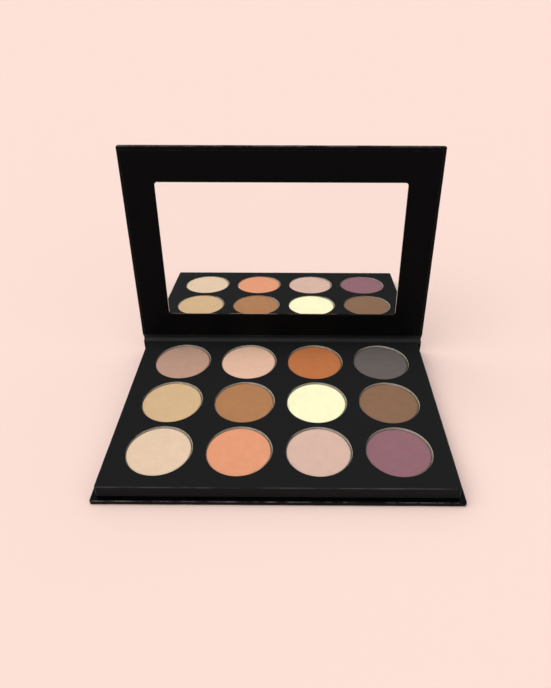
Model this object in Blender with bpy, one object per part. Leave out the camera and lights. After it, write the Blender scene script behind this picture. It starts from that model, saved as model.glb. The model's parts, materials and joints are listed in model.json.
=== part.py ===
"""Book-style eyeshadow palette: a paper-wrapped cover that folds round a tray of round pans.

Frame: the origin is under the middle of the base, on the surface that the palette lies on.
+X runs to the right along the front edge, +Y to the rear (the spine) and +Z up.
The lid stands open, leaning back a little past upright, with its mirror facing forward.
The pieces are drawn with y = 0 at the front edge, and the whole is moved forward at the end.
"""
import bpy
import bmesh
import math
from mathutils import Vector

MM = 0.001

# Cover
WIDTH = 143.0 * MM
DEPTH = 98.9 * MM
PAPER = 0.2 * MM
BOARD = 1.4 * MM
GLUE_GAP = 0.1 * MM
COVER = 2 * PAPER + BOARD + 2 * GLUE_GAP
TURN_IN = 12.0 * MM
CORNER = 0.8 * MM

# Tray
TRAY_INSET = 2.0 * MM
TRAY_SIDE_INSET = 2.1 * MM
TRAY_REAR_GAP = 2.35 * MM
TRAY_TOP = 7.4 * MM
TRAY_TURN_IN = 8.0 * MM
ADHESIVE = 0.1 * MM
ADHESIVE_MARGIN = 1.0 * MM
MIRROR_PAD_MARGIN = 2.0 * MM
FLOOR_CARD = 0.6 * MM
LOWER_WELL = 2.0 * MM

# Wells and pans
COLUMNS = 4
ROWS = 3
COLUMN_PITCH = 32.3 * MM
ROW_PITCH = 29.5 * MM
FRONT_ROW_Y = 21.3 * MM
WELL_RADIUS = 13.5 * MM
PAN_RADIUS = 13.2 * MM
PAN_HEIGHT = 3.4 * MM
PAN_WALL = 0.3 * MM
PAN_LEAN = -0.12 * MM
POWDER_DEPTH = 2.9 * MM
POWDER_CHAMFER = 0.25 * MM
DOT_RADIUS = 9.0 * MM
WELL_SEGMENTS = 32
SHARP_ANGLE = math.radians(40)

# Closing magnets
MAGNET_RADIUS = 3.0 * MM
MAGNET_CLEAR = 0.2 * MM
BASE_MAGNET = 1.5 * MM
LID_MAGNET = 1.2 * MM
MAGNET_Y = 7.4 * MM
MAGNET_SEGMENTS = 20

# Spine and hinge
SPINE_FOOT = 0.45 * MM
SPINE_TOP = 7.8 * MM
BASE_REAR_GAP = 2.4 * MM
FOLD_FOOT = 0.05 * MM
FOLD_TOP = 0.3 * MM
LINING_FROM_REAR = 2.32 * MM
STRIP_CORNER = 0.08 * MM
HINGE_Y = DEPTH - 1.4 * MM
HINGE_Z = 9.25 * MM
LID_EDGE = 1.6 * MM
LID_OPEN = 93.0

# Lid, measured while it lies closed on the tray
PANEL_FACE = 7.55 * MM
PANEL = 0.8 * MM
PANEL_INSET = 1.5 * MM
PANEL_REAR_INSET = 1.0 * MM
LID_LENGTH = HINGE_Y - LID_EDGE
WINDOW_HALF = 56.5 * MM
WINDOW_FRONT = 15.5 * MM
WINDOW_REAR = 82.7 * MM
WINDOW_CORNER = 1.5 * MM
MIRROR = 0.8 * MM
MIRROR_CLEAR = 0.15 * MM
MIRROR_RECESS = 0.25 * MM

SHADE_NAMES = (
    ("cream", "coral", "blush", "plum"),
    ("tan", "brown", "vanilla", "cocoa"),
    ("taupe", "peach", "copper", "charcoal"),
)
SHADE_COLOURS = {
    "cream": (0.79, 0.60, 0.42), "coral": (0.76, 0.33, 0.17),
    "blush": (0.68, 0.46, 0.37), "plum": (0.28, 0.13, 0.15),
    "tan": (0.67, 0.46, 0.26), "brown": (0.42, 0.20, 0.09),
    "vanilla": (0.98, 0.95, 0.61), "cocoa": (0.25, 0.14, 0.08),
    "taupe": (0.52, 0.32, 0.24), "peach": (0.80, 0.51, 0.37),
    "copper": (0.52, 0.18, 0.06), "charcoal": (0.13, 0.11, 0.11),
}


FINISHES = {
    "gloss_black_paper": ((0.006, 0.006, 0.007), 0.18, 0.0),
    "matte_black_paper": ((0.018, 0.018, 0.018), 0.6, 0.0),
    "satin_black_paper": ((0.008, 0.008, 0.008), 0.45, 0.0),
    "greyboard": ((0.30, 0.28, 0.25), 0.9, 0.0),
    "adhesive_film": ((0.75, 0.74, 0.70), 0.5, 0.0),
    "nickel_plated": ((0.62, 0.61, 0.58), 0.25, 1.0),
    "tinned_steel": ((0.62, 0.60, 0.57), 0.3, 1.0),
    "mirror_silver": ((0.92, 0.92, 0.92), 0.02, 1.0),
}
for shade_name, shade_colour in SHADE_COLOURS.items():
    FINISHES["powder_" + shade_name] = (shade_colour, 0.85, 0.0)


def clear_scene():
    for old in list(bpy.data.objects):
        bpy.data.objects.remove(old, do_unlink=True)


def material(name):
    """The finish called name, made once and then shared."""
    found = bpy.data.materials.get(name)
    if found:
        return found
    colour, roughness, metallic = FINISHES[name]
    made = bpy.data.materials.new(name)
    made.use_nodes = True
    shader = made.node_tree.nodes["Principled BSDF"]
    shader.inputs["Base Color"].default_value = (*colour, 1.0)
    shader.inputs["Roughness"].default_value = roughness
    shader.inputs["Metallic"].default_value = metallic
    made.diffuse_color = (*colour, 1.0)
    return made


def finish(bm, name, finish_material, parent=None, smooth=False):
    """Turn a bmesh into a named object with outward faces."""
    bmesh.ops.recalc_face_normals(bm, faces=bm.faces)
    mesh = bpy.data.meshes.new(name)
    bm.to_mesh(mesh)
    bm.free()
    if smooth:
        mesh.shade_smooth()
        mesh.set_sharp_from_angle(angle=SHARP_ANGLE)
    mesh.materials.append(finish_material)
    made = bpy.data.objects.new(name, mesh)
    bpy.context.scene.collection.objects.link(made)
    if parent:
        made.parent = parent
    return made


def rounded_rectangle(x0, x1, y0, y1, radius, steps=3):
    """Corner arcs, counter-clockwise, each with steps + 1 points."""
    centres = (
        (x1 - radius, y0 + radius, -90), (x1 - radius, y1 - radius, 0),
        (x0 + radius, y1 - radius, 90), (x0 + radius, y0 + radius, 180),
    )
    points = []
    for cx, cy, start in centres:
        for step in range(steps + 1):
            angle = math.radians(start + 90 * step / steps)
            points.append((cx + radius * math.cos(angle), cy + radius * math.sin(angle)))
    return points


def circle(cx, cy, radius, segments):
    turns = [2 * math.pi * i / segments for i in range(segments)]
    return [(cx + radius * math.cos(a), cy + radius * math.sin(a)) for a in turns]


def add_loop(bm, points, z):
    """A closed ring of vertices and its edges at one height."""
    verts = [bm.verts.new((x, y, z)) for x, y in points]
    for i, vert in enumerate(verts):
        bm.edges.new((vert, verts[(i + 1) % len(verts)]))
    return verts


def bridge(bm, lower, upper):
    """Side faces between two rings with the same number of vertices."""
    count = len(lower)
    for i in range(count):
        j = (i + 1) % count
        bm.faces.new((lower[i], lower[j], upper[j], upper[i]))


def cap(bm, rings):
    """Fill a flat outline, leaving every further ring open as a hole."""
    edges = []
    for ring in rings:
        for i, vert in enumerate(ring):
            edges.append(bm.edges.get((vert, ring[(i + 1) % len(ring)])))
    bmesh.ops.triangle_fill(bm, use_beauty=True, use_dissolve=False, edges=edges)


def plate(bm, outline, z0, z1, holes=()):
    """A flat plate with straight holes right through it."""
    lower = [add_loop(bm, ring, z0) for ring in (outline, *holes)]
    upper = [add_loop(bm, ring, z1) for ring in (outline, *holes)]
    for low, high in zip(lower, upper):
        bridge(bm, low, high)
    cap(bm, lower)
    cap(bm, upper)


def paper_shell(bm, box, z0, z1, turn_in, holes=()):
    """Paper folded round a board: one face, four edges and a turned-in margin.

    The full face is at z0 and the margin at z1, which may lie above or below it.
    """
    x0, x1, y0, y1 = box
    side = 1 if z1 > z0 else -1
    profile = (
        (0.0, z0), (0.0, z1), (turn_in, z1), (turn_in, z1 - side * PAPER),
        (PAPER, z1 - side * PAPER), (PAPER, z0 + side * PAPER),
    )
    rings = []
    for inset, z in profile:
        radius = max(CORNER - inset, 0.3 * CORNER)
        ring = rounded_rectangle(x0 + inset, x1 - inset, y0 + inset, y1 - inset, radius)
        rings.append(add_loop(bm, ring, z))
    for low, high in zip(rings, rings[1:]):
        bridge(bm, low, high)
    outer_holes = [add_loop(bm, ring, z0) for ring in holes]
    inner_holes = [add_loop(bm, ring, z0 + side * PAPER) for ring in holes]
    for low, high in zip(outer_holes, inner_holes):
        bridge(bm, low, high)
    cap(bm, [rings[0], *outer_holes])
    cap(bm, [rings[-1], *inner_holes])


def board_box(box, inset=PAPER + GLUE_GAP):
    x0, x1, y0, y1 = box
    return rounded_rectangle(x0 + inset, x1 - inset, y0 + inset, y1 - inset, CORNER / 2)


def turn_about_x(bm, pivot_y, pivot_z, degrees):
    angle = math.radians(degrees)
    cosine, sine = round(math.cos(angle), 9), round(math.sin(angle), 9)
    for vert in bm.verts:
        y, z = vert.co.y - pivot_y, vert.co.z - pivot_z
        vert.co = Vector((vert.co.x, y * cosine - z * sine, y * sine + z * cosine))


def raise_lid(bm):
    """Swing a lid piece from closed to open and measure it from the hinge axis."""
    turn_about_x(bm, HINGE_Y, HINGE_Z, -LID_OPEN)


def magnet_centres():
    return [(side * COLUMN_PITCH, MAGNET_Y) for side in (-1, 1)]


def well_centres():
    """Column and row of each well with its centre, front row first."""
    for row in range(ROWS):
        for column in range(COLUMNS):
            x = (column - (COLUMNS - 1) / 2) * COLUMN_PITCH
            yield row, column, x, FRONT_ROW_Y + row * ROW_PITCH


def well_rings():
    return [circle(x, y, WELL_RADIUS, WELL_SEGMENTS) for _, _, x, y in well_centres()]


def magnet_rings():
    clear = MAGNET_RADIUS + MAGNET_CLEAR
    return [circle(x, y, clear, MAGNET_SEGMENTS) for x, y in magnet_centres()]


def tray_box(inset=0.0):
    half = WIDTH / 2 - TRAY_SIDE_INSET - inset
    return (-half, half, TRAY_INSET + inset, DEPTH - TRAY_REAR_GAP - inset)


def build_base_cover():
    gloss = material("gloss_black_paper")
    board = material("greyboard")
    box = (-WIDTH / 2, WIDTH / 2, 0.0, DEPTH - BASE_REAR_GAP)
    bm = bmesh.new()
    paper_shell(bm, box, 0.0, COVER, TURN_IN)
    finish(bm, "base_wrap", gloss)
    bm = bmesh.new()
    plate(bm, board_box(box), PAPER + GLUE_GAP, PAPER + GLUE_GAP + BOARD)
    finish(bm, "base_board", board)


def build_spine():
    """The spine is made flat, like a cover board, and then stood on its edge."""
    gloss = material("gloss_black_paper")
    board = material("greyboard")
    height = SPINE_TOP - SPINE_FOOT
    box = (-WIDTH / 2, WIDTH / 2, 0.0, height)
    bm = bmesh.new()
    paper_shell(bm, box, 0.0, COVER, height / 4)
    turn_about_x(bm, 0.0, 0.0, 90)
    wrap = finish(bm, "spine_wrap", gloss)
    wrap.location = (0.0, DEPTH, SPINE_FOOT)
    bm = bmesh.new()
    plate(bm, board_box(box), PAPER + GLUE_GAP, PAPER + GLUE_GAP + BOARD)
    turn_about_x(bm, 0.0, 0.0, 90)
    core = finish(bm, "spine_board", board)
    core.location = (0.0, DEPTH, SPINE_FOOT)


def build_creases():
    """Paper that bends: the fixed fold under the spine and the two hinge layers above it."""
    gloss = material("gloss_black_paper")
    matte = material("matte_black_paper")
    half = WIDTH / 2 - GLUE_GAP
    fold_y = DEPTH - BASE_REAR_GAP + GLUE_GAP
    lining_y = DEPTH - LINING_FROM_REAR
    crease_top = HINGE_Z + LID_EDGE - 2 * GLUE_GAP
    lining_top = HINGE_Z + LID_EDGE + PANEL_REAR_INSET - GLUE_GAP
    strips = (
        ("lower_crease", gloss, fold_y, DEPTH - GLUE_GAP, FOLD_FOOT, FOLD_TOP),
        ("hinge_crease", gloss, DEPTH - PAPER, DEPTH, SPINE_TOP + GLUE_GAP, crease_top),
        ("hinge_lining", matte, lining_y, lining_y + PAPER, TRAY_TOP + GLUE_GAP, lining_top),
    )
    for name, paper, y0, y1, z0, z1 in strips:
        bm = bmesh.new()
        plate(bm, rounded_rectangle(-half, half, y0, y1, STRIP_CORNER, 1), z0, z1)
        finish(bm, name, paper)


def build_tray():
    matte = material("matte_black_paper")
    board = material("greyboard")
    glue = material("adhesive_film")
    inset = PAPER + GLUE_GAP
    bottom = COVER + 2 * GLUE_GAP + ADHESIVE
    bm = bmesh.new()
    x0, x1, y0, y1 = tray_box(ADHESIVE_MARGIN)
    plate(bm, rounded_rectangle(x0, x1, y0, y1, CORNER), COVER + GLUE_GAP, COVER + GLUE_GAP + ADHESIVE)
    finish(bm, "tray_adhesive", glue)
    bm = bmesh.new()
    paper_shell(bm, tray_box(), TRAY_TOP, bottom, TRAY_TURN_IN, well_rings())
    finish(bm, "tray_wrap", matte)
    floor_z = bottom + inset
    bm = bmesh.new()
    plate(bm, board_box(tray_box()), floor_z, floor_z + FLOOR_CARD)
    finish(bm, "tray_floor", board)
    lower_z = floor_z + FLOOR_CARD + GLUE_GAP
    bm = bmesh.new()
    plate(bm, board_box(tray_box()), lower_z, lower_z + LOWER_WELL, well_rings())
    finish(bm, "well_board_lower", board)
    upper_z = lower_z + LOWER_WELL + GLUE_GAP
    bm = bmesh.new()
    plate(bm, board_box(tray_box()), upper_z, TRAY_TOP - inset, (*well_rings(), *magnet_rings()))
    finish(bm, "well_board_upper", board)
    return floor_z + FLOOR_CARD, upper_z


def build_magnet(name, x, y, z, thickness, lid=None):
    steel = material("nickel_plated")
    bm = bmesh.new()
    plate(bm, circle(x, y, MAGNET_RADIUS, MAGNET_SEGMENTS), z, z + thickness)
    if lid:
        raise_lid(bm)
    finish(bm, name, steel, lid, smooth=True)


def turned(bm, profile, x, y):
    """A closed body from (radius, z) points, capped at its first and last ring."""
    rings = [add_loop(bm, circle(x, y, r, WELL_SEGMENTS), z) for r, z in profile]
    for low, high in zip(rings, rings[1:]):
        bridge(bm, low, high)
    bm.faces.new(rings[0])
    bm.faces.new(rings[-1])


def build_pan(row, column, x, y, floor_top):
    """One glue dot, one tin cup and one pressed powder cake."""
    tin = material("tinned_steel")
    glue = material("adhesive_film")
    shade = SHADE_NAMES[row][column]
    powder = material("powder_" + shade)
    px, py = x + PAN_LEAN, y + PAN_LEAN
    dot_z = floor_top + GLUE_GAP
    bm = bmesh.new()
    turned(bm, ((DOT_RADIUS, dot_z), (DOT_RADIUS, dot_z + ADHESIVE)), px, py)
    finish(bm, "pan_adhesive_" + shade, glue, smooth=True)
    foot = dot_z + ADHESIVE + GLUE_GAP
    rim = foot + PAN_HEIGHT
    bore = PAN_RADIUS - PAN_WALL
    bm = bmesh.new()
    cup = ((PAN_RADIUS, foot), (PAN_RADIUS, rim), (bore, rim), (bore, foot + PAN_WALL))
    turned(bm, cup, px, py)
    finish(bm, "pan_" + shade, tin, smooth=True)
    seat = foot + PAN_WALL + GLUE_GAP
    top = seat + POWDER_DEPTH
    radius = bore - GLUE_GAP
    cake = ((radius, seat), (radius, top - POWDER_CHAMFER), (radius - POWDER_CHAMFER, top))
    bm = bmesh.new()
    turned(bm, cake, px, py)
    finish(bm, "powder_" + shade, powder, smooth=True)


def build_lid():
    """Every lid piece is drawn closed, then swung open on the hinge's empty."""
    gloss = material("gloss_black_paper")
    matte = material("satin_black_paper")
    board = material("greyboard")
    glue = material("adhesive_film")
    glass = material("mirror_silver")
    lid = bpy.data.objects.new("lid_hinge_axis", None)
    lid.location = (0.0, HINGE_Y, HINGE_Z)
    bpy.context.scene.collection.objects.link(lid)
    cover_face = PANEL_FACE + PANEL + 2 * GLUE_GAP + ADHESIVE
    outer_face = cover_face + COVER
    box = (-WIDTH / 2, WIDTH / 2, 0.0, LID_LENGTH)
    bm = bmesh.new()
    paper_shell(bm, box, outer_face, cover_face, TURN_IN)
    raise_lid(bm)
    finish(bm, "lid_wrap", gloss, lid)
    board_z = outer_face - PAPER - GLUE_GAP - BOARD
    bm = bmesh.new()
    plate(bm, board_box(box), board_z, board_z + BOARD, magnet_rings())
    raise_lid(bm)
    finish(bm, "lid_board", board, lid)
    window = rounded_rectangle(-WINDOW_HALF, WINDOW_HALF, WINDOW_FRONT, WINDOW_REAR, WINDOW_CORNER)
    half = WIDTH / 2 - PANEL_INSET
    outline = rounded_rectangle(-half, half, PANEL_INSET, LID_LENGTH - PANEL_REAR_INSET, CORNER)
    bm = bmesh.new()
    plate(bm, outline, PANEL_FACE, PANEL_FACE + PANEL, (window,))
    raise_lid(bm)
    finish(bm, "lid_panel", matte, lid)
    glue_z = PANEL_FACE + PANEL + GLUE_GAP
    half -= ADHESIVE_MARGIN
    front = PANEL_INSET + ADHESIVE_MARGIN
    rear = LID_LENGTH - PANEL_REAR_INSET - ADHESIVE_MARGIN
    sheet = rounded_rectangle(-half, half, front, rear, CORNER)
    reach = WINDOW_HALF + ADHESIVE_MARGIN
    front, rear = WINDOW_FRONT - ADHESIVE_MARGIN, WINDOW_REAR + ADHESIVE_MARGIN
    opening = rounded_rectangle(-reach, reach, front, rear, WINDOW_CORNER)
    bm = bmesh.new()
    plate(bm, sheet, glue_z, glue_z + ADHESIVE, (opening,))
    raise_lid(bm)
    finish(bm, "lid_panel_adhesive", glue, lid)
    build_mirror(lid, glass, glue, board_z)
    for side, (x, y) in zip(("left", "right"), magnet_centres()):
        build_magnet("lid_magnet_" + side, x, y, board_z + GLUE_GAP, LID_MAGNET, lid)


def build_mirror(lid, glass, glue, board_z):
    reach = WINDOW_HALF - MIRROR_CLEAR
    front, rear = WINDOW_FRONT + MIRROR_CLEAR, WINDOW_REAR - MIRROR_CLEAR
    outline = rounded_rectangle(-reach, reach, front, rear, WINDOW_CORNER - MIRROR_CLEAR)
    face = PANEL_FACE + MIRROR_RECESS
    bm = bmesh.new()
    plate(bm, outline, face, face + MIRROR)
    raise_lid(bm)
    finish(bm, "mirror", glass, lid)
    half = reach - MIRROR_PAD_MARGIN
    pad = rounded_rectangle(-half, half, front + MIRROR_PAD_MARGIN, rear - MIRROR_PAD_MARGIN, CORNER)
    bm = bmesh.new()
    plate(bm, pad, face + MIRROR + GLUE_GAP, board_z - GLUE_GAP)
    raise_lid(bm)
    finish(bm, "mirror_adhesive", glue, lid)


def centre_on_origin():
    """Move the front edge forward, so that the origin is under the middle of the base."""
    for made in bpy.data.objects:
        if made.parent is None:
            made.location.y -= DEPTH / 2


def build_palette():
    clear_scene()
    build_base_cover()
    build_spine()
    build_creases()
    floor_top, upper_z = build_tray()
    for side, (x, y) in zip(("left", "right"), magnet_centres()):
        build_magnet("base_magnet_" + side, x, y, upper_z + GLUE_GAP, BASE_MAGNET)
    for row, column, x, y in well_centres():
        build_pan(row, column, x, y, floor_top)
    build_lid()
    centre_on_origin()


build_palette()
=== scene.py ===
"""Looks of the book-style eyeshadow palette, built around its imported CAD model.

Everything is in metres, in the CAD's frame: the origin is under the middle of the base, +X runs to
the right along the front edge, +Y to the rear and +Z up. Lid pieces are drawn shut, lying on the
tray, and then swung open about the hinge, which the frame gives.
"""

import json
import math

import bmesh
import bpy
from mathutils import Matrix, Vector, noise


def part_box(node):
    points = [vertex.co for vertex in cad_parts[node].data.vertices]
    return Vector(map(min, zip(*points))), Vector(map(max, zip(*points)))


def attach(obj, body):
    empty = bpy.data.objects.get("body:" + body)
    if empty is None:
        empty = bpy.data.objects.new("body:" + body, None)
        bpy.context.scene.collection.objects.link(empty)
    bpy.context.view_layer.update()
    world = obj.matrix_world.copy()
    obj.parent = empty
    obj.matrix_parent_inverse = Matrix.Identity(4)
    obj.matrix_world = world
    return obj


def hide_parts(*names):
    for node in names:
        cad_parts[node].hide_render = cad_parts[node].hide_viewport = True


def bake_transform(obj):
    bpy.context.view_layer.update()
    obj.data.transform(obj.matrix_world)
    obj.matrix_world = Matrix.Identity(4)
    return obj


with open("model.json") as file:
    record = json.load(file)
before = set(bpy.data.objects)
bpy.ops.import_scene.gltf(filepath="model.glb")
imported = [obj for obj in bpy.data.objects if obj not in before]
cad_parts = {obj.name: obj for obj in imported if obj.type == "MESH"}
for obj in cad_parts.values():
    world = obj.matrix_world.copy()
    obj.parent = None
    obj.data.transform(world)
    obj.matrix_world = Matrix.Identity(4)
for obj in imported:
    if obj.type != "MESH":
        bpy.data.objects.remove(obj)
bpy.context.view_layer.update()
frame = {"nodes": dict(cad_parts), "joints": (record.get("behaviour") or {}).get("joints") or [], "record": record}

# Fixed, so that every run gives the same meshes
noise.seed_set(1)

MM = 0.001

# Mesh: how finely sides are divided, and how small a radius or a length may get
EDGE_PITCH = 1.2 * MM
SUPPORT = 0.06 * MM
LEAST_RADIUS = 0.04 * MM
NO_LENGTH = 1e-9

# Cover paper: each strip that crosses a fold stops a little short of the cover's sides
PAPER = 0.2 * MM
COVER_EDGE = 0.45 * MM
COVER_CORNER = 0.8 * MM
FOLD_INSET = 0.30 * MM
HINGE_INSET = 0.35 * MM
HINGE_LAP = 0.7 * MM
LINING_GAP = 0.15 * MM
LINING_DEPTH = 0.1 * MM

# Tray
TRAY_EDGE = 0.60 * MM
TRAY_FOOT_EDGE = 0.15 * MM
TRAY_CORNER = 0.9 * MM
TRAY_INNER_INSET = 0.1 * MM

# Lid panel and mirror
PANEL_EDGE = 0.22 * MM
PANEL_BACK_EDGE = 0.05 * MM
PANEL_CORNER = 0.8 * MM
WINDOW_LIP = 0.30 * MM
WINDOW_BACK_EDGE = 0.02 * MM
WINDOW_CORNER = 1.5 * MM
WINDOW_GAP = 0.15 * MM
MIRROR_EDGE = 0.12 * MM
MIRROR_BACK_EDGE = 0.05 * MM
MIRROR_CORNER = 1.35 * MM

# Wells: the tray's paper turns down into each one, and the board's wells are cut separately
WELL_RADIUS = 13.55 * MM
WELL_SEGMENTS = 128
WELL_LIP = 0.10 * MM
LIP_DEPTH = 0.45 * MM
LIP_SHEET = 0.12 * MM
LIP_FOOT_EDGE = 0.02 * MM
BOARD_WELL_RADIUS = 13.50 * MM
BOARD_WELL_SHIFT = -0.20 * MM
BOARD_WELL_EDGE = 0.04 * MM
BOARD_EDGE = 0.05 * MM
BOARD_RISE = 0.06 * MM

# Pans and powder
TURNED_SEGMENTS = 112
PAN_SHEET = 0.18 * MM
PAN_FLOOR = 0.23 * MM
PAN_FOOT = 0.5 * MM
PAN_FILLET = 0.1 * MM
PAN_BEAD = 0.5 * MM
CAKE_SPREAD = 0.14 * MM
CAKE_FOOT = 0.15 * MM
CAKE_EDGE = 0.30 * MM
CAKE_DOME = 0.05 * MM
CAKE_RINGS = 14
CAKE_BASE = 1.0 * MM
CAKE_WAVE = 0.03 * MM
CAKE_WAVE_PITCH = 5 * MM
CAKE_SEED_STEP = 3.7

# Shades as they look under plain light, in sRGB
SHADES = {
    "cream": (230, 202, 174), "coral": (227, 155, 118), "blush": (215, 181, 165),
    "plum": (144, 102, 110), "tan": (214, 181, 140), "brown": (174, 124, 84),
    "vanilla": (254, 250, 206), "cocoa": (137, 104, 81), "taupe": (192, 153, 134),
    "peach": (231, 189, 164), "copper": (191, 116, 69), "charcoal": (103, 96, 93),
}

# Noise at which a bend starts to take its lighter colour, part wear and part painted highlight, and at which it
# takes it fully
WEAR_AND_HIGHLIGHT_START = 0.64
WEAR_AND_HIGHLIGHT_FULL = 0.84

# Camera
CAMERA_PLACE = Vector((5.57, -193.38, 178.52)) * MM
CAMERA_PITCH = math.radians(32.35)
CAMERA_YAW = math.radians(0.28)
CAMERA_ROLL = math.radians(0.10)
CAMERA_LENS = 29.98
CAMERA_SHIFT_X = -0.0225
CAMERA_SHIFT_Y = -0.0479
CAMERA_NEAREST = 0.01

# Surroundings
FLOOR_RADIUS = 8.0
FLOOR_SEGMENTS = 64
FLOOR_DROP = 0.05 * MM
FLOOR_COLOUR = (0.964, 0.7366, 0.6665)
SURROUND_COLOUR = (1.0, 0.985, 0.975)
SURROUND_STRENGTH = 0.62
KEY_DIRECTION = Vector((0.50, 0.06, -0.95))
KEY_STRENGTH = 1.47
KEY_ANGLE = math.radians(75)
GLINT_DIRECTION = Vector((0.34, 0.72, -0.62))
GLINT_STRENGTH = 1.5
GLINT_ANGLE = math.radians(6)

HINGE = frame["joints"][0]
HINGE_PLACE = Vector(HINGE["pos_m"])
LID_OPEN = math.radians(-HINGE["range_deg"][0])
OPENING = (
    Matrix.Translation(HINGE_PLACE)
    @ Matrix.Rotation(-LID_OPEN, 4, "X")
    @ Matrix.Translation(-HINGE_PLACE)
)


# Frame


def shut_box(node):
    """Lowest and highest corner of a lid node, measured with the lid shut."""
    shutting = OPENING.inverted()
    places = [shutting @ vert.co for vert in frame["nodes"][node].data.vertices]
    low = Vector([min(p[axis] for p in places) for axis in range(3)])
    high = Vector([max(p[axis] for p in places) for axis in range(3)])
    return low, high


# Mesh helpers


def plan(low, high):
    """The (x0, x1, y0, y1) of a box, as slab and outline_ring take it."""
    return low.x, high.x, low.y, high.y


def straight(a, b, pitch=EDGE_PITCH):
    """Points from a up to, and without, b."""
    count = max(1, round((Vector(b) - Vector(a)).length / pitch))
    return [tuple(Vector(a).lerp(Vector(b), i / count)) for i in range(count)]


def rounded_rectangle(x0, x1, y0, y1, radius, steps=8):
    """Counter-clockwise outline with evenly spaced points along its straight sides."""
    centres = (
        (x1 - radius, y0 + radius, -90), (x1 - radius, y1 - radius, 0),
        (x0 + radius, y1 - radius, 90), (x0 + radius, y0 + radius, 180),
    )
    arcs = []
    for cx, cy, start in centres:
        turns = [math.radians(start + 90 * i / steps) for i in range(steps + 1)]
        arcs.append([(cx + radius * math.cos(a), cy + radius * math.sin(a)) for a in turns])
    points = []
    for arc, following in zip(arcs, arcs[1:] + arcs[:1]):
        points += arc[:-1]
        points += straight(arc[-1], following[0])
    return points


def circle(cx, cy, radius, segments):
    """Counter-clockwise points round a circle."""
    turns = [2 * math.pi * i / segments for i in range(segments)]
    return [(cx + radius * math.cos(a), cy + radius * math.sin(a)) for a in turns]


def add_ring(bm, points, z):
    """A closed loop of points and edges at one height."""
    verts = [bm.verts.new((x, y, z)) for x, y in points]
    for i, vert in enumerate(verts):
        bm.edges.new((vert, verts[(i + 1) % len(verts)]))
    return verts


def bridge(bm, rings):
    """Side faces through a stack of rings that have the same number of points."""
    for lower, upper in zip(rings, rings[1:]):
        for i in range(len(lower)):
            j = (i + 1) % len(lower)
            bm.faces.new((lower[i], lower[j], upper[j], upper[i]))


def cap(bm, rings):
    """Fill a flat outline and leave every further ring open."""
    edges = []
    for ring in rings:
        edges += [bm.edges.get((vert, ring[(i + 1) % len(ring)])) for i, vert in enumerate(ring)]
    bmesh.ops.triangle_fill(bm, use_beauty=True, use_dissolve=False, edges=edges)


def edge_profile(z0, z1, low, high, steps=6):
    """(inset, z) points up the side of a slab, rounded by low at z0 and by high at z1."""
    points = [(low + SUPPORT, z0)]
    for i in range(steps + 1):
        turn = math.radians(90 * i / steps)
        points.append((low * (1 - math.sin(turn)), z0 + low * (1 - math.cos(turn))))
    for i in range(steps + 1):
        turn = math.radians(90 * i / steps)
        points.append((high * (1 - math.cos(turn)), z1 - high * (1 - math.sin(turn))))
    points.append((high + SUPPORT, z1))
    return points


def outline_ring(box, inset, corner):
    """A rounded rectangle drawn in by inset, with the same number of points at every inset."""
    x0, x1, y0, y1 = box
    base = rounded_rectangle(x0, x1, y0, y1, corner)
    if not inset:
        return base
    moved = []
    for x, y in base:
        nearest_x = min(max(x, x0 + corner), x1 - corner)
        nearest_y = min(max(y, y0 + corner), y1 - corner)
        outward = Vector((x - nearest_x, y - nearest_y))
        if outward.length < NO_LENGTH:
            moved.append((x, y))
            continue
        keep = outward.normalized() * max(outward.length - inset, LEAST_RADIUS)
        spare = max(inset - outward.length + LEAST_RADIUS, 0.0)
        if abs(outward.x) > NO_LENGTH:
            nearest_x -= math.copysign(spare, nearest_x)
        if abs(outward.y) > NO_LENGTH:
            nearest_y -= math.copysign(spare, nearest_y - (y0 + y1) / 2)
        moved.append((nearest_x + keep.x, nearest_y + keep.y))
    return moved


def slab(bm, box, corner, profile, holes=(), hole_profile=()):
    """A rounded plate: box is (x0, x1, y0, y1), and each hole is a function of its offset."""
    rings = [add_ring(bm, outline_ring(box, inset, corner), z) for inset, z in profile]
    bridge(bm, rings)
    low_rings = [rings[0]]
    high_rings = [rings[-1]]
    for hole in holes:
        stack = [add_ring(bm, hole(offset), z) for offset, z in hole_profile]
        bridge(bm, stack)
        low_rings.append(stack[0])
        high_rings.append(stack[-1])
    cap(bm, low_rings)
    cap(bm, high_rings)


def turned(bm, profile, cx, cy, segments=TURNED_SEGMENTS):
    """A body turned about an upright axis from (radius, z); a zero radius closes it to a point."""
    rings = []
    for radius, z in profile:
        if radius > 0:
            rings.append([bm.verts.new((x, y, z)) for x, y in circle(cx, cy, radius, segments)])
        else:
            rings.append([bm.verts.new((cx, cy, z))])
    for lower, upper in zip(rings, rings[1:]):
        for i in range(segments):
            j = (i + 1) % segments
            corners = [lower[i % len(lower)], lower[j % len(lower)]]
            corners += [upper[j % len(upper)], upper[i % len(upper)]]
            bm.faces.new(list(dict.fromkeys(corners)))


def waver(bm, amount, pitch, seed):
    """Move each point a little by smooth noise, as folded paper and cut board do."""
    for vert in bm.verts:
        spot = vert.co / pitch + Vector((seed, 2.3 * seed, 0.7 * seed))
        vert.co += noise.noise_vector(spot) * amount


def mark_bends(bm):
    """Store how far each point is round a folded edge: 0 on a flat face, 1 in mid-bend. The finishes put wear and
    painted highlights there.
    """
    bm.normal_update()
    bend_share = bm.verts.layers.float.new("bend_share")
    mid_bend = 1 - math.sqrt(0.5)
    for vert in bm.verts:
        flatness = max(abs(part) for part in vert.normal)
        vert[bend_share] = min(1.0, (1 - flatness) / mid_bend)


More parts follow.
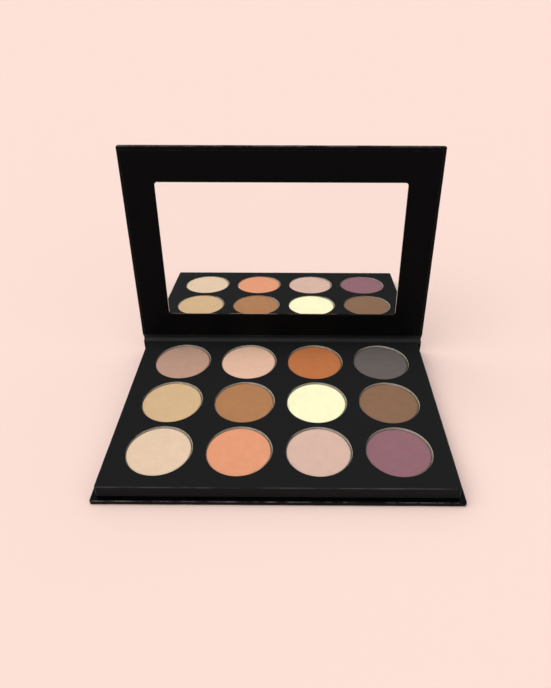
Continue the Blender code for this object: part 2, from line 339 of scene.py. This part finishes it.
def finish_mesh(bm, name, material, sharp=50):
    """An object with smooth shading, except where faces meet at more than sharp degrees."""
    bmesh.ops.recalc_face_normals(bm, faces=bm.faces)
    mesh = bpy.data.meshes.new(name)
    bm.to_mesh(mesh)
    bm.free()
    mesh.shade_smooth()
    mesh.set_sharp_from_angle(angle=math.radians(sharp))
    mesh.materials.append(material)
    piece = bpy.data.objects.new(name, mesh)
    bpy.context.scene.collection.objects.link(piece)
    return piece


def place(piece, body, slot, *nodes):
    """Attach a finished piece to the body it rides on, and hide the CAD nodes it stands for. The slot argument is
    not used.
    """
    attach(piece, body)
    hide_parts(*nodes)


# Materials


def linear(colour):
    return [((c / 255 + 0.055) / 1.055) ** 2.4 if c > 10 else c / 255 / 12.92 for c in colour]


class Shader:
    """A Principled material with the few node chains that every finish here is made of."""

    def __init__(self, name, roughness, metallic=0.0, specular=0.5):
        self.material = bpy.data.materials.new(name)
        self.material.use_nodes = True
        self.tree = self.material.node_tree
        self.main = self.tree.nodes["Principled BSDF"]
        self.main.inputs["Roughness"].default_value = roughness
        self.main.inputs["Metallic"].default_value = metallic
        self.main.inputs["Specular IOR Level"].default_value = specular
        self.place = self.tree.nodes.new("ShaderNodeTexCoord").outputs["Object"]

    def link(self, source, target):
        self.tree.links.new(source, target)

    def stretched(self, factors):
        mapping = self.tree.nodes.new("ShaderNodeMapping")
        mapping.inputs["Scale"].default_value = factors
        self.link(self.place, mapping.inputs["Vector"])
        return mapping.outputs["Vector"]

    def noise(self, size, detail=2.0, rough=0.5, stretch=None):
        made = self.tree.nodes.new("ShaderNodeTexNoise")
        made.inputs["Scale"].default_value = 1.0 / size
        made.inputs["Detail"].default_value = detail
        made.inputs["Roughness"].default_value = rough
        self.link(self.stretched(stretch) if stretch else self.place, made.inputs["Vector"])
        return made.outputs["Fac"]

    def ramp(self, source, low, high, start=0.3, end=0.7):
        """Colour from low to high as source goes from start to end."""
        made = self.tree.nodes.new("ShaderNodeValToRGB")
        made.color_ramp.elements[0].position = start
        made.color_ramp.elements[1].position = end
        made.color_ramp.elements[0].color = (*low, 1.0)
        made.color_ramp.elements[1].color = (*high, 1.0)
        self.link(source, made.inputs["Fac"])
        return made.outputs["Color"]

    def span(self, source, low, high, start=0.3, end=0.7):
        """Value from low to high as source goes from start to end."""
        made = self.tree.nodes.new("ShaderNodeMapRange")
        made.inputs["From Min"].default_value = start
        made.inputs["From Max"].default_value = end
        made.inputs["To Min"].default_value = low
        made.inputs["To Max"].default_value = high
        self.link(source, made.inputs["Value"])
        return made.outputs["Result"]

    def mix(self, factor, a, b):
        """Colour from a to b. The node's colour sockets are its inputs 6 and 7 and its output 2."""
        made = self.tree.nodes.new("ShaderNodeMix")
        made.data_type = "RGBA"
        self.link(factor, made.inputs["Factor"])
        for socket, value in ((made.inputs[6], a), (made.inputs[7], b)):
            if isinstance(value, bpy.types.NodeSocket):
                self.link(value, socket)
            else:
                socket.default_value = (*value, 1.0)
        return made.outputs[2]

    def wear_and_highlight(self, size, share, stretch=None):
        """Patches, size across, on the folded edges, more of them as share grows; the finishes colour them as part
        wear, part painted highlight.
        """
        bend = self.tree.nodes.new("ShaderNodeAttribute")
        bend.attribute_name = "bend_share"
        cloud = self.noise(size, 5.0, 0.7, stretch)
        patches = self.span(cloud, 0.0, 1.0, WEAR_AND_HIGHLIGHT_START - share, WEAR_AND_HIGHLIGHT_FULL - share)
        product = self.tree.nodes.new("ShaderNodeMath")
        product.operation = "MULTIPLY"
        self.link(bend.outputs["Fac"], product.inputs[0])
        self.link(patches, product.inputs[1])
        return product.outputs["Value"]

    def colour(self, source):
        self.link(source, self.main.inputs["Base Color"])

    def roughness(self, source):
        self.link(source, self.main.inputs["Roughness"])

    def bumps(self, *layers):
        """Each layer is (height, depth in metres), stacked in order."""
        normal = None
        for height, depth in layers:
            made = self.tree.nodes.new("ShaderNodeBump")
            made.inputs["Strength"].default_value = 1.0
            made.inputs["Distance"].default_value = depth
            self.link(height, made.inputs["Height"])
            if normal:
                self.link(normal, made.inputs["Normal"])
            normal = made.outputs["Normal"]
        self.link(normal, self.main.inputs["Normal"])


def cover_paper():
    """Gloss black laminated paper, stretched over board: a faint ripple and a fine grain."""
    made = Shader("cover_paper", 0.16, specular=0.07)
    black = made.ramp(made.noise(6 * MM), (0.0012, 0.0012, 0.0013), (0.0024, 0.0024, 0.0025))
    # The lighter patches on the folded edges are part rubbed wear, part painted highlight: dashed gloss lines
    # painted on as colour.
    made.colour(made.mix(made.wear_and_highlight(7.0 * MM, 0.20), black, (0.150, 0.148, 0.145)))
    made.roughness(made.span(made.noise(3 * MM, 4.0), 0.12, 0.22))
    made.bumps((made.noise(5 * MM, 1.0), 0.06 * MM), (made.noise(0.35 * MM, 3.0), 0.004 * MM))
    return made.material


def tray_paper():
    """Matte black paper with a soft felt-like tooth."""
    made = Shader("tray_paper", 0.62, specular=0.01)
    tooth = made.noise(0.5 * MM, 4.0)
    black = made.ramp(tooth, (0.0111, 0.0114, 0.0116), (0.0157, 0.0161, 0.0165))
    # The lighter patches, drawn out along X on the folded edges, are part wear, part painted highlight: a light
    # line painted along the edges.
    made.colour(made.mix(made.wear_and_highlight(8 * MM, 0.23, (0.3, 1.0, 1.0)), black, (0.075, 0.075, 0.078)))
    made.roughness(made.span(made.noise(2 * MM, 3.0), 0.56, 0.70))
    made.bumps((made.noise(0.18 * MM, 4.0, 0.6), 0.010 * MM), (made.noise(7 * MM, 1.0), 0.03 * MM))
    return made.material


def hinge_paper():
    """The tray's paper where it bends each time the lid moves, with fine lines along it: painted lighter than the
    tray's paper, as painted light against the lid's shade there.
    """
    made = Shader("hinge_paper", 0.55, specular=0.10)
    lines = made.noise(0.30 * MM, 3.0, 0.6, stretch=(0.05, 1.0, 1.0))
    made.colour(made.ramp(lines, (0.015, 0.015, 0.015), (0.030, 0.030, 0.030)))
    made.roughness(made.span(made.noise(2 * MM, 3.0), 0.48, 0.62))
    made.bumps((lines, 0.03 * MM), (made.noise(5 * MM, 1.0), 0.05 * MM))
    return made.material


def panel_paper():
    """Satin black card inside the lid."""
    made = Shader("panel_paper", 0.42, specular=0.03)
    fibres = made.noise(0.8 * MM, 4.0)
    black = made.ramp(fibres, (0.0016, 0.0017, 0.0019), (0.0030, 0.0032, 0.0035))
    # The lighter patches round the window's lips and the panel's edges are part worn cut edge, part painted
    # highlight.
    made.colour(made.mix(made.wear_and_highlight(3 * MM, 0.24), black, (0.022, 0.022, 0.022)))
    made.roughness(made.span(made.noise(4 * MM, 3.0), 0.36, 0.48))
    made.bumps((made.noise(0.22 * MM, 3.0), 0.006 * MM), (made.noise(9 * MM, 1.0), 0.04 * MM))
    return made.material


def greyboard():
    """The fibrous cut edge of pale board, with its layers along the sheet."""
    made = Shader("greyboard", 0.9, specular=0.2)
    layers = made.noise(0.25 * MM, 4.0, 0.6, stretch=(0.12, 0.12, 1.0))
    flecks = made.noise(0.4 * MM, 3.0)
    tone = made.ramp(layers, (0.28, 0.24, 0.185), (0.53, 0.46, 0.36))
    made.colour(made.mix(made.span(flecks, 0.0, 0.35, 0.5, 0.75), tone, (0.66, 0.59, 0.47)))
    made.bumps((layers, 0.05 * MM), (flecks, 0.03 * MM))
    return made.material


def pan_tin():
    """Drawn tinplate, of a dulled gloss, with fine lines along the wall of the cup; its colour is darkened as
    painted shade for the dark gap round each cake.
    """
    made = Shader("pan_tin", 0.3, metallic=1.0)
    made.colour(made.ramp(made.noise(1.5 * MM, 3.0), (0.31, 0.300, 0.282), (0.42, 0.410, 0.390)))
    made.roughness(made.span(made.noise(0.3 * MM, 4.0, stretch=(1.0, 1.0, 5.0)), 0.22, 0.42))
    made.bumps((made.noise(0.2 * MM, 3.0, stretch=(1.0, 1.0, 5.0)), 0.004 * MM))
    return made.material


def mirror_silver():
    """Silvered plate with the faintest haze."""
    made = Shader("mirror_silver", 0.01, metallic=1.0)
    made.colour(made.ramp(made.noise(30 * MM, 2.0), (0.965, 0.965, 0.965), (0.985, 0.985, 0.985)))
    made.roughness(made.span(made.noise(12 * MM, 4.0), 0.004, 0.016))
    return made.material


def adhesive_film():
    """Cloudy cream film, and the glue dots under the pans."""
    made = Shader("adhesive_film", 0.5, specular=0.4)
    made.colour(made.ramp(made.noise(1.5 * MM, 4.0), (0.66, 0.65, 0.61), (0.80, 0.79, 0.75)))
    made.bumps((made.noise(0.6 * MM, 3.0), 0.02 * MM))
    return made.material


def magnet_nickel():
    """Satin nickel plate with an uneven gloss."""
    made = Shader("magnet_nickel", 0.25, metallic=1.0)
    made.colour(made.ramp(made.noise(2 * MM, 3.0), (0.56, 0.55, 0.52), (0.66, 0.65, 0.62)))
    made.roughness(made.span(made.noise(0.4 * MM, 4.0), 0.18, 0.34))
    return made.material


def powder(shade):
    """Pressed powder: a fine grain with soft clouds of slightly lighter and darker pigment."""
    made = Shader("powder_" + shade, 0.85, specular=0.08)
    tone = linear(SHADES[shade])
    pale = [min(1.0, c * 1.03 + 0.002) for c in tone]
    deep = [c * 0.965 for c in tone]
    clouds = made.ramp(made.noise(4.0 * MM, 4.0, 0.6), deep, pale, 0.32, 0.68)
    grain = made.noise(0.14 * MM, 3.0, 0.6)
    fleck = [min(1.0, c * 1.10 + 0.008) for c in tone]
    made.colour(made.mix(made.span(grain, 0.0, 0.4, 0.55, 0.8), clouds, fleck))
    made.bumps((grain, 0.010 * MM), (made.noise(2.2 * MM, 2.0), 0.015 * MM))
    return made.material


MATERIALS = {
    "cover_paper": cover_paper(), "tray_paper": tray_paper(), "panel_paper": panel_paper(),
    "greyboard": greyboard(), "pan_tin": pan_tin(), "mirror": mirror_silver(),
    "adhesive": adhesive_film(), "magnet": magnet_nickel(), "hinge_paper": hinge_paper(),
}
for shade_name in SHADES:
    MATERIALS["powder_" + shade_name] = powder(shade_name)


# Pieces


def cover_board(low, high):
    """A board wrapped in paper, as a mesh to be finished."""
    bm = bmesh.new()
    profile = edge_profile(low.z, high.z, COVER_EDGE, COVER_EDGE)
    slab(bm, plan(low, high), COVER_CORNER, profile)
    mark_bends(bm)
    return bm


def build_base_cover():
    low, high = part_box("base_wrap")
    bm = cover_board(low, high)
    waver(bm, amount=0.05 * MM, pitch=5 * MM, seed=1.0)
    piece = finish_mesh(bm, "base_cover", MATERIALS["cover_paper"])
    place(piece, "base", "cover_paper", "base_wrap")


def build_spine_cover():
    """The spine stands on edge, so it is drawn flat and turned up."""
    low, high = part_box("spine_wrap")
    bm = bmesh.new()
    height = high.z - low.z
    thickness = high.y - low.y
    profile = edge_profile(0.0, thickness, COVER_EDGE, COVER_EDGE)
    slab(bm, (low.x, high.x, 0.0, height), COVER_CORNER, profile)
    mark_bends(bm)
    bm.transform(Matrix.Translation((0, high.y, low.z)) @ Matrix.Rotation(math.radians(90), 4, "X"))
    waver(bm, amount=0.04 * MM, pitch=6 * MM, seed=4.0)
    piece = finish_mesh(bm, "spine_cover", MATERIALS["cover_paper"])
    place(piece, "base", "cover_paper", "spine_wrap")


def strip(section, half, steps=96):
    """Paper of one thickness: section is its centre line in (y, z), and it runs along X."""
    bm = bmesh.new()
    line = [Vector(p) for p in section]
    sides = []
    for i, point in enumerate(line):
        before = line[max(i - 1, 0)]
        after = line[min(i + 1, len(line) - 1)]
        across = (after - before).normalized()
        normal = Vector((-across.y, across.x)) * (PAPER / 2)
        sides.append((point + normal, point - normal))
    outline = [s[0] for s in sides] + [s[1] for s in reversed(sides)]
    rings = []
    for step in range(steps + 1):
        x = -half + 2 * half * step / steps
        rings.append([bm.verts.new((x, p.x, p.y)) for p in outline])
    bridge(bm, rings)
    bm.faces.new(rings[0])
    bm.faces.new(rings[-1])
    return bm


def arc_line(points, steps=6):
    """A smooth line through a few points, as a Catmull-Rom spline."""
    padded = [points[0], *points, points[-1]]
    line = []
    for p0, p1, p2, p3 in zip(padded, padded[1:], padded[2:], padded[3:]):
        for step in range(steps):
            t = step / steps
            row = []
            for a, b, c, d in zip(p0, p1, p2, p3):
                cubic = 2 * b + (c - a) * t
                cubic += (2 * a - 5 * b + 4 * c - d) * t * t
                cubic += (3 * b - a - 3 * c + d) * t ** 3
                row.append(cubic / 2)
            line.append(tuple(row))
    line.append(tuple(points[-1]))
    return line


def beside(y, z, *steps):
    """Points in (y, z), each a step in millimetres from one place."""
    return [(y + dy * MM, z + dz * MM) for dy, dz in steps]


def build_lower_fold():
    """Paper across the fold between the base board and the spine."""
    base_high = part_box("base_wrap")[1]
    spine_low, spine_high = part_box("spine_wrap")
    points = [
        *beside(base_high.y, PAPER / 2, (-0.6, 0.04), (0.1, 0.10)),
        *beside(spine_low.y, PAPER / 2, (0.2, 0.16)),
        *beside(spine_high.y, PAPER / 2, (-0.7, 0.22)),
        *beside(spine_high.y, spine_low.z, (-0.25, 0.15), (-0.12, 0.8)),
    ]
    bm = strip(arc_line(points), spine_high.x - FOLD_INSET)
    piece = finish_mesh(bm, "lower_fold", MATERIALS["cover_paper"])
    place(piece, "base", "cover_paper", "lower_crease")


def build_outer_hinge():
    """The gloss paper that bends, in its groove between the spine and the lid."""
    spine_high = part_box("spine_wrap")[1]
    lid_high = shut_box("lid_wrap")[1]
    edge = OPENING @ Vector((0, lid_high.y, lid_high.z - PAPER))
    above = OPENING @ Vector((0, lid_high.y - HINGE_LAP, lid_high.z - PAPER))
    back = spine_high.y - PAPER
    outer = [
        *beside(back, spine_high.z, (0, -0.8), (-0.02, -0.1), (-0.42, 0.7)),
        *beside(back, HINGE_PLACE.z, (-0.60, 0)),
        *beside(edge.y, edge.z, (-0.45, -0.6), (-0.05, 0.1)),
        (above.y, above.z),
    ]
    bm = strip(arc_line(outer), spine_high.x - HINGE_INSET)
    waver(bm, amount=0.03 * MM, pitch=4 * MM, seed=9.0)
    piece = finish_mesh(bm, "hinge_outer", MATERIALS["cover_paper"])
    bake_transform(piece)
    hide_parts("hinge_crease")


def build_inner_hinge():
    """The matte paper that bends, from behind the tray up to the foot of the lid panel."""
    spine_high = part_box("spine_wrap")[1]
    tray_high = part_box("tray_wrap")[1]
    panel_high = shut_box("lid_panel")[1]
    foot = OPENING @ Vector((0, panel_high.y + LINING_GAP, panel_high.z - LINING_DEPTH))
    inner = [
        *beside(tray_high.y, tray_high.z, (0.14, -0.9), (0.16, -0.2), (0.32, 0.35)),
        *beside(HINGE_PLACE.y, HINGE_PLACE.z, (0.10, -0.25), (0.02, 0.9)),
        *beside(foot.y, foot.z, (0.30, -0.9), (0.05, -0.15)),
    ]
    bm = strip(arc_line(inner), spine_high.x - HINGE_INSET)
    waver(bm, amount=0.05 * MM, pitch=5 * MM, seed=12.0)
    piece = finish_mesh(bm, "hinge_inner", MATERIALS["hinge_paper"])
    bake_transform(piece)
    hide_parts("hinge_lining")


def well_centres():
    """The middle of every well: its pan leans by the same small step from it in x and y."""
    centres = {}
    for shade in SHADES:
        low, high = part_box("pan_adhesive_" + shade)
        centres[shade] = (low + high) / 2
    lean = sum(centre.x for centre in centres.values()) / len(centres)
    return {shade: (centre.x - lean, centre.y - lean) for shade, centre in centres.items()}


def well_holes(radius=WELL_RADIUS, shift=0.0):
    """One outline for each well, as a function of its offset."""
    return [
        lambda offset, x=x, y=y: circle(x + shift, y + shift, radius + offset, WELL_SEGMENTS)
        for x, y in well_centres().values()
    ]


def build_tray():
    """The paper shell over the boards, open below, with a turned-down lip round each well."""
    low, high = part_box("tray_wrap")
    bm = bmesh.new()
    box = plan(low, high)
    profile = edge_profile(low.z, high.z, TRAY_FOOT_EDGE, TRAY_EDGE)
    rings = [add_ring(bm, outline_ring(box, inset, TRAY_CORNER), z) for inset, z in profile]
    bridge(bm, rings)
    lip = edge_profile(high.z - LIP_DEPTH, high.z, LIP_FOOT_EDGE, WELL_LIP, 4)
    tops = [rings[-1]]
    walls = []
    seat = high.z - PAPER
    for hole in well_holes():
        stack = [add_ring(bm, hole(offset), z) for offset, z in lip]
        bridge(bm, stack)
        tops.append(stack[-1])
        outside = add_ring(bm, hole(LIP_SHEET), high.z - LIP_DEPTH)
        under = add_ring(bm, hole(LIP_SHEET), seat)
        bridge(bm, [stack[0], outside, under])
        walls.append(under)
    cap(bm, tops)
    inner_box = (low.x + PAPER, high.x - PAPER, low.y + PAPER, high.y - PAPER)
    ceiling = add_ring(bm, outline_ring(inner_box, TRAY_INNER_INSET, TRAY_CORNER), seat)
    foot = add_ring(bm, outline_ring(inner_box, TRAY_INNER_INSET, TRAY_CORNER), low.z)
    bridge(bm, [ceiling, foot])
    cap(bm, [ceiling, *walls])
    cap(bm, [rings[0], foot])
    mark_bends(bm)
    waver(bm, amount=0.03 * MM, pitch=7 * MM, seed=21.0)
    piece = finish_mesh(bm, "tray_cover", MATERIALS["tray_paper"])
    place(piece, "base", "tray_paper", "tray_wrap")


def build_well_boards():
    """The board's wells are a little small and off to one side, so their pale edges show."""
    for level in ("lower", "upper"):
        low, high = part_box("well_board_" + level)
        top = high.z + BOARD_RISE
        bm = bmesh.new()
        profile = edge_profile(low.z, top, BOARD_EDGE, BOARD_EDGE, 2)
        walls = edge_profile(low.z, top, BOARD_WELL_EDGE, BOARD_WELL_EDGE, 2)
        holes = well_holes(BOARD_WELL_RADIUS, BOARD_WELL_SHIFT)
        slab(bm, plan(low, high), TRAY_CORNER / 2, profile, holes, walls)
        piece = finish_mesh(bm, "well_wall_" + level, MATERIALS["greyboard"])
        place(piece, "base", "greyboard", "well_board_" + level)


def quarter(cx, cz, radius, start, end, steps=6):
    """Arc points in (radius, z) from start to end degrees."""
    turns = [math.radians(start + (end - start) * i / steps) for i in range(steps + 1)]
    return [(cx + radius * math.cos(a), cz + radius * math.sin(a)) for a in turns]


def build_pan(shade):
    """A drawn cup of one sheet, with a rounded foot and a rounded rim."""
    low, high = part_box("pan_" + shade)
    centre = (low + high) / 2
    radius = (high.x - low.x) / 2
    rim = PAN_SHEET / 2
    wall = radius - PAN_SHEET
    profile = [(0.0, low.z)]
    profile += quarter(radius - PAN_FOOT, low.z + PAN_FOOT, PAN_FOOT, -90, 0)
    profile += quarter(radius - rim, high.z - rim, rim, 0, 180)
    profile += [(wall, high.z - PAN_BEAD), (wall, low.z + PAN_FOOT)]
    profile += [(wall - PAN_FILLET, low.z + PAN_FLOOR), (0.0, low.z + PAN_FLOOR)]
    bm = bmesh.new()
    turned(bm, profile, centre.x, centre.y)
    piece = finish_mesh(bm, "tin_" + shade, MATERIALS["pan_tin"])
    place(piece, "base", "pan_tin", "pan_" + shade)


def build_cake(shade, seed):
    """The powder is pressed nearly flat, with a rounded shoulder that meets the tin."""
    low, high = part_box("powder_" + shade)
    centre = (low + high) / 2
    radius = (high.x - low.x) / 2 + CAKE_SPREAD
    shoulder = high.z - CAKE_DOME
    profile = [(0.0, low.z), (radius - CAKE_FOOT, low.z), (radius, low.z + CAKE_FOOT)]
    profile += quarter(radius - CAKE_EDGE, shoulder - CAKE_EDGE, CAKE_EDGE, 0, 90)
    crown = radius - CAKE_EDGE
    for step in range(1, CAKE_RINGS):
        share = 1 - step / CAKE_RINGS
        profile.append((crown * share, shoulder + CAKE_DOME * (1 - share ** 2)))
    profile.append((0.0, high.z))
    bm = bmesh.new()
    turned(bm, profile, centre.x, centre.y)
    for vert in bm.verts:
        if vert.co.z > low.z + CAKE_BASE:
            spot = vert.co / CAKE_WAVE_PITCH + Vector((seed, 0, 0))
            vert.co.z += noise.noise(spot) * CAKE_WAVE
    piece = finish_mesh(bm, "cake_" + shade, MATERIALS["powder_" + shade])
    place(piece, "base", "powder_" + shade, "powder_" + shade)


def build_lid_cover():
    low, high = shut_box("lid_wrap")
    bm = cover_board(low, high)
    waver(bm, amount=0.04 * MM, pitch=6 * MM, seed=31.0)
    bm.transform(OPENING)
    piece = finish_mesh(bm, "lid_cover", MATERIALS["cover_paper"])
    place(piece, "lid", "cover_paper", "lid_wrap")


def window_box():
    """The window follows the mirror, with an even gap all round."""
    low, high = shut_box("mirror")
    gap = Vector((WINDOW_GAP, WINDOW_GAP, 0))
    return plan(low - gap, high + gap)


def window_outline(offset):
    """The window's outline grown outward by offset, always with the same number of points."""
    x0, x1, y0, y1 = window_box()
    grown = []
    for x, y in rounded_rectangle(x0, x1, y0, y1, WINDOW_CORNER):
        nearest_x = min(max(x, x0 + WINDOW_CORNER), x1 - WINDOW_CORNER)
        nearest_y = min(max(y, y0 + WINDOW_CORNER), y1 - WINDOW_CORNER)
        outward = Vector((x - nearest_x, y - nearest_y)).normalized()
        grown.append((x + outward.x * offset, y + outward.y * offset))
    return grown


def build_lid_panel():
    low, high = shut_box("lid_panel")
    bm = bmesh.new()
    profile = edge_profile(low.z, high.z, PANEL_EDGE, PANEL_BACK_EDGE)
    walls = edge_profile(low.z, high.z, WINDOW_LIP, WINDOW_BACK_EDGE)
    slab(bm, plan(low, high), PANEL_CORNER, profile, [window_outline], walls)
    mark_bends(bm)
    bm.transform(OPENING)
    piece = finish_mesh(bm, "lid_liner", MATERIALS["panel_paper"])
    place(piece, "lid", "panel_paper", "lid_panel")


def build_mirror():
    low, high = shut_box("mirror")
    bm = bmesh.new()
    profile = edge_profile(low.z, high.z, MIRROR_EDGE, MIRROR_BACK_EDGE, 3)
    slab(bm, plan(low, high), MIRROR_CORNER, profile)
    bm.transform(OPENING)
    piece = finish_mesh(bm, "lid_mirror", MATERIALS["mirror"], sharp=25)
    place(piece, "lid", "mirror", "mirror")


def paint_frame():
    """Every CAD node that stays takes the finish of its slot."""
    for entry in frame["record"]["subparts"]:
        node = frame["nodes"][entry["node"]]
        node.data.materials.clear()
        node.data.materials.append(MATERIALS[entry["material_slot"]])


# Stage


def build_floor():
    bm = bmesh.new()
    outline = circle(0, 0, FLOOR_RADIUS, FLOOR_SEGMENTS)
    bm.faces.new([bm.verts.new((x, y, -FLOOR_DROP)) for x, y in outline])
    shader = Shader("floor_paper", 0.9, specular=0.0)
    shader.main.inputs["Base Color"].default_value = (*FLOOR_COLOUR, 1.0)
    floor = finish_mesh(bm, "floor", shader.material)


def build_surroundings():
    world = bpy.data.worlds.new("surroundings")
    world.use_nodes = True
    background = world.node_tree.nodes["Background"]
    background.inputs["Color"].default_value = (*SURROUND_COLOUR, 1.0)
    background.inputs["Strength"].default_value = SURROUND_STRENGTH
    bpy.context.scene.world = world


def build_lamp(name, direction, strength, angle):
    data = bpy.data.lights.new(name, "SUN")
    data.energy = strength
    data.angle = angle
    lamp = bpy.data.objects.new(name, data)
    lamp.rotation_euler = direction.to_track_quat("-Z", "Y").to_euler()
    bpy.context.scene.collection.objects.link(lamp)
    return lamp


def build_light():
    """A broad key light overhead, a little to the left, and a small one for gloss alone in front."""
    build_lamp("key", KEY_DIRECTION, KEY_STRENGTH, KEY_ANGLE)
    glint = build_lamp("glint", GLINT_DIRECTION, GLINT_STRENGTH, GLINT_ANGLE)
    glint.visible_diffuse = False


def build_camera():
    data = bpy.data.cameras.new("camera")
    data.lens = CAMERA_LENS
    data.shift_x = CAMERA_SHIFT_X
    data.shift_y = CAMERA_SHIFT_Y
    data.clip_start = CAMERA_NEAREST
    camera = bpy.data.objects.new("camera", data)
    turn = Matrix.Rotation(CAMERA_YAW, 4, "Z")
    tilt = Matrix.Rotation(math.radians(90) - CAMERA_PITCH, 4, "X")
    roll = Matrix.Rotation(CAMERA_ROLL, 4, "Z")
    camera.matrix_world = Matrix.Translation(CAMERA_PLACE) @ turn @ tilt @ roll
    bpy.context.scene.collection.objects.link(camera)
    bpy.context.scene.camera = camera


paint_frame()
build_base_cover()
build_spine_cover()
build_lower_fold()
build_outer_hinge()
build_inner_hinge()
build_tray()
build_well_boards()
for number, shade_name in enumerate(SHADES):
    build_pan(shade_name)
    build_cake(shade_name, CAKE_SEED_STEP * number)
build_lid_cover()
build_lid_panel()
build_mirror()
build_floor()
build_surroundings()
build_light()
build_camera()
bpy.context.scene.view_settings.view_transform = "Standard"
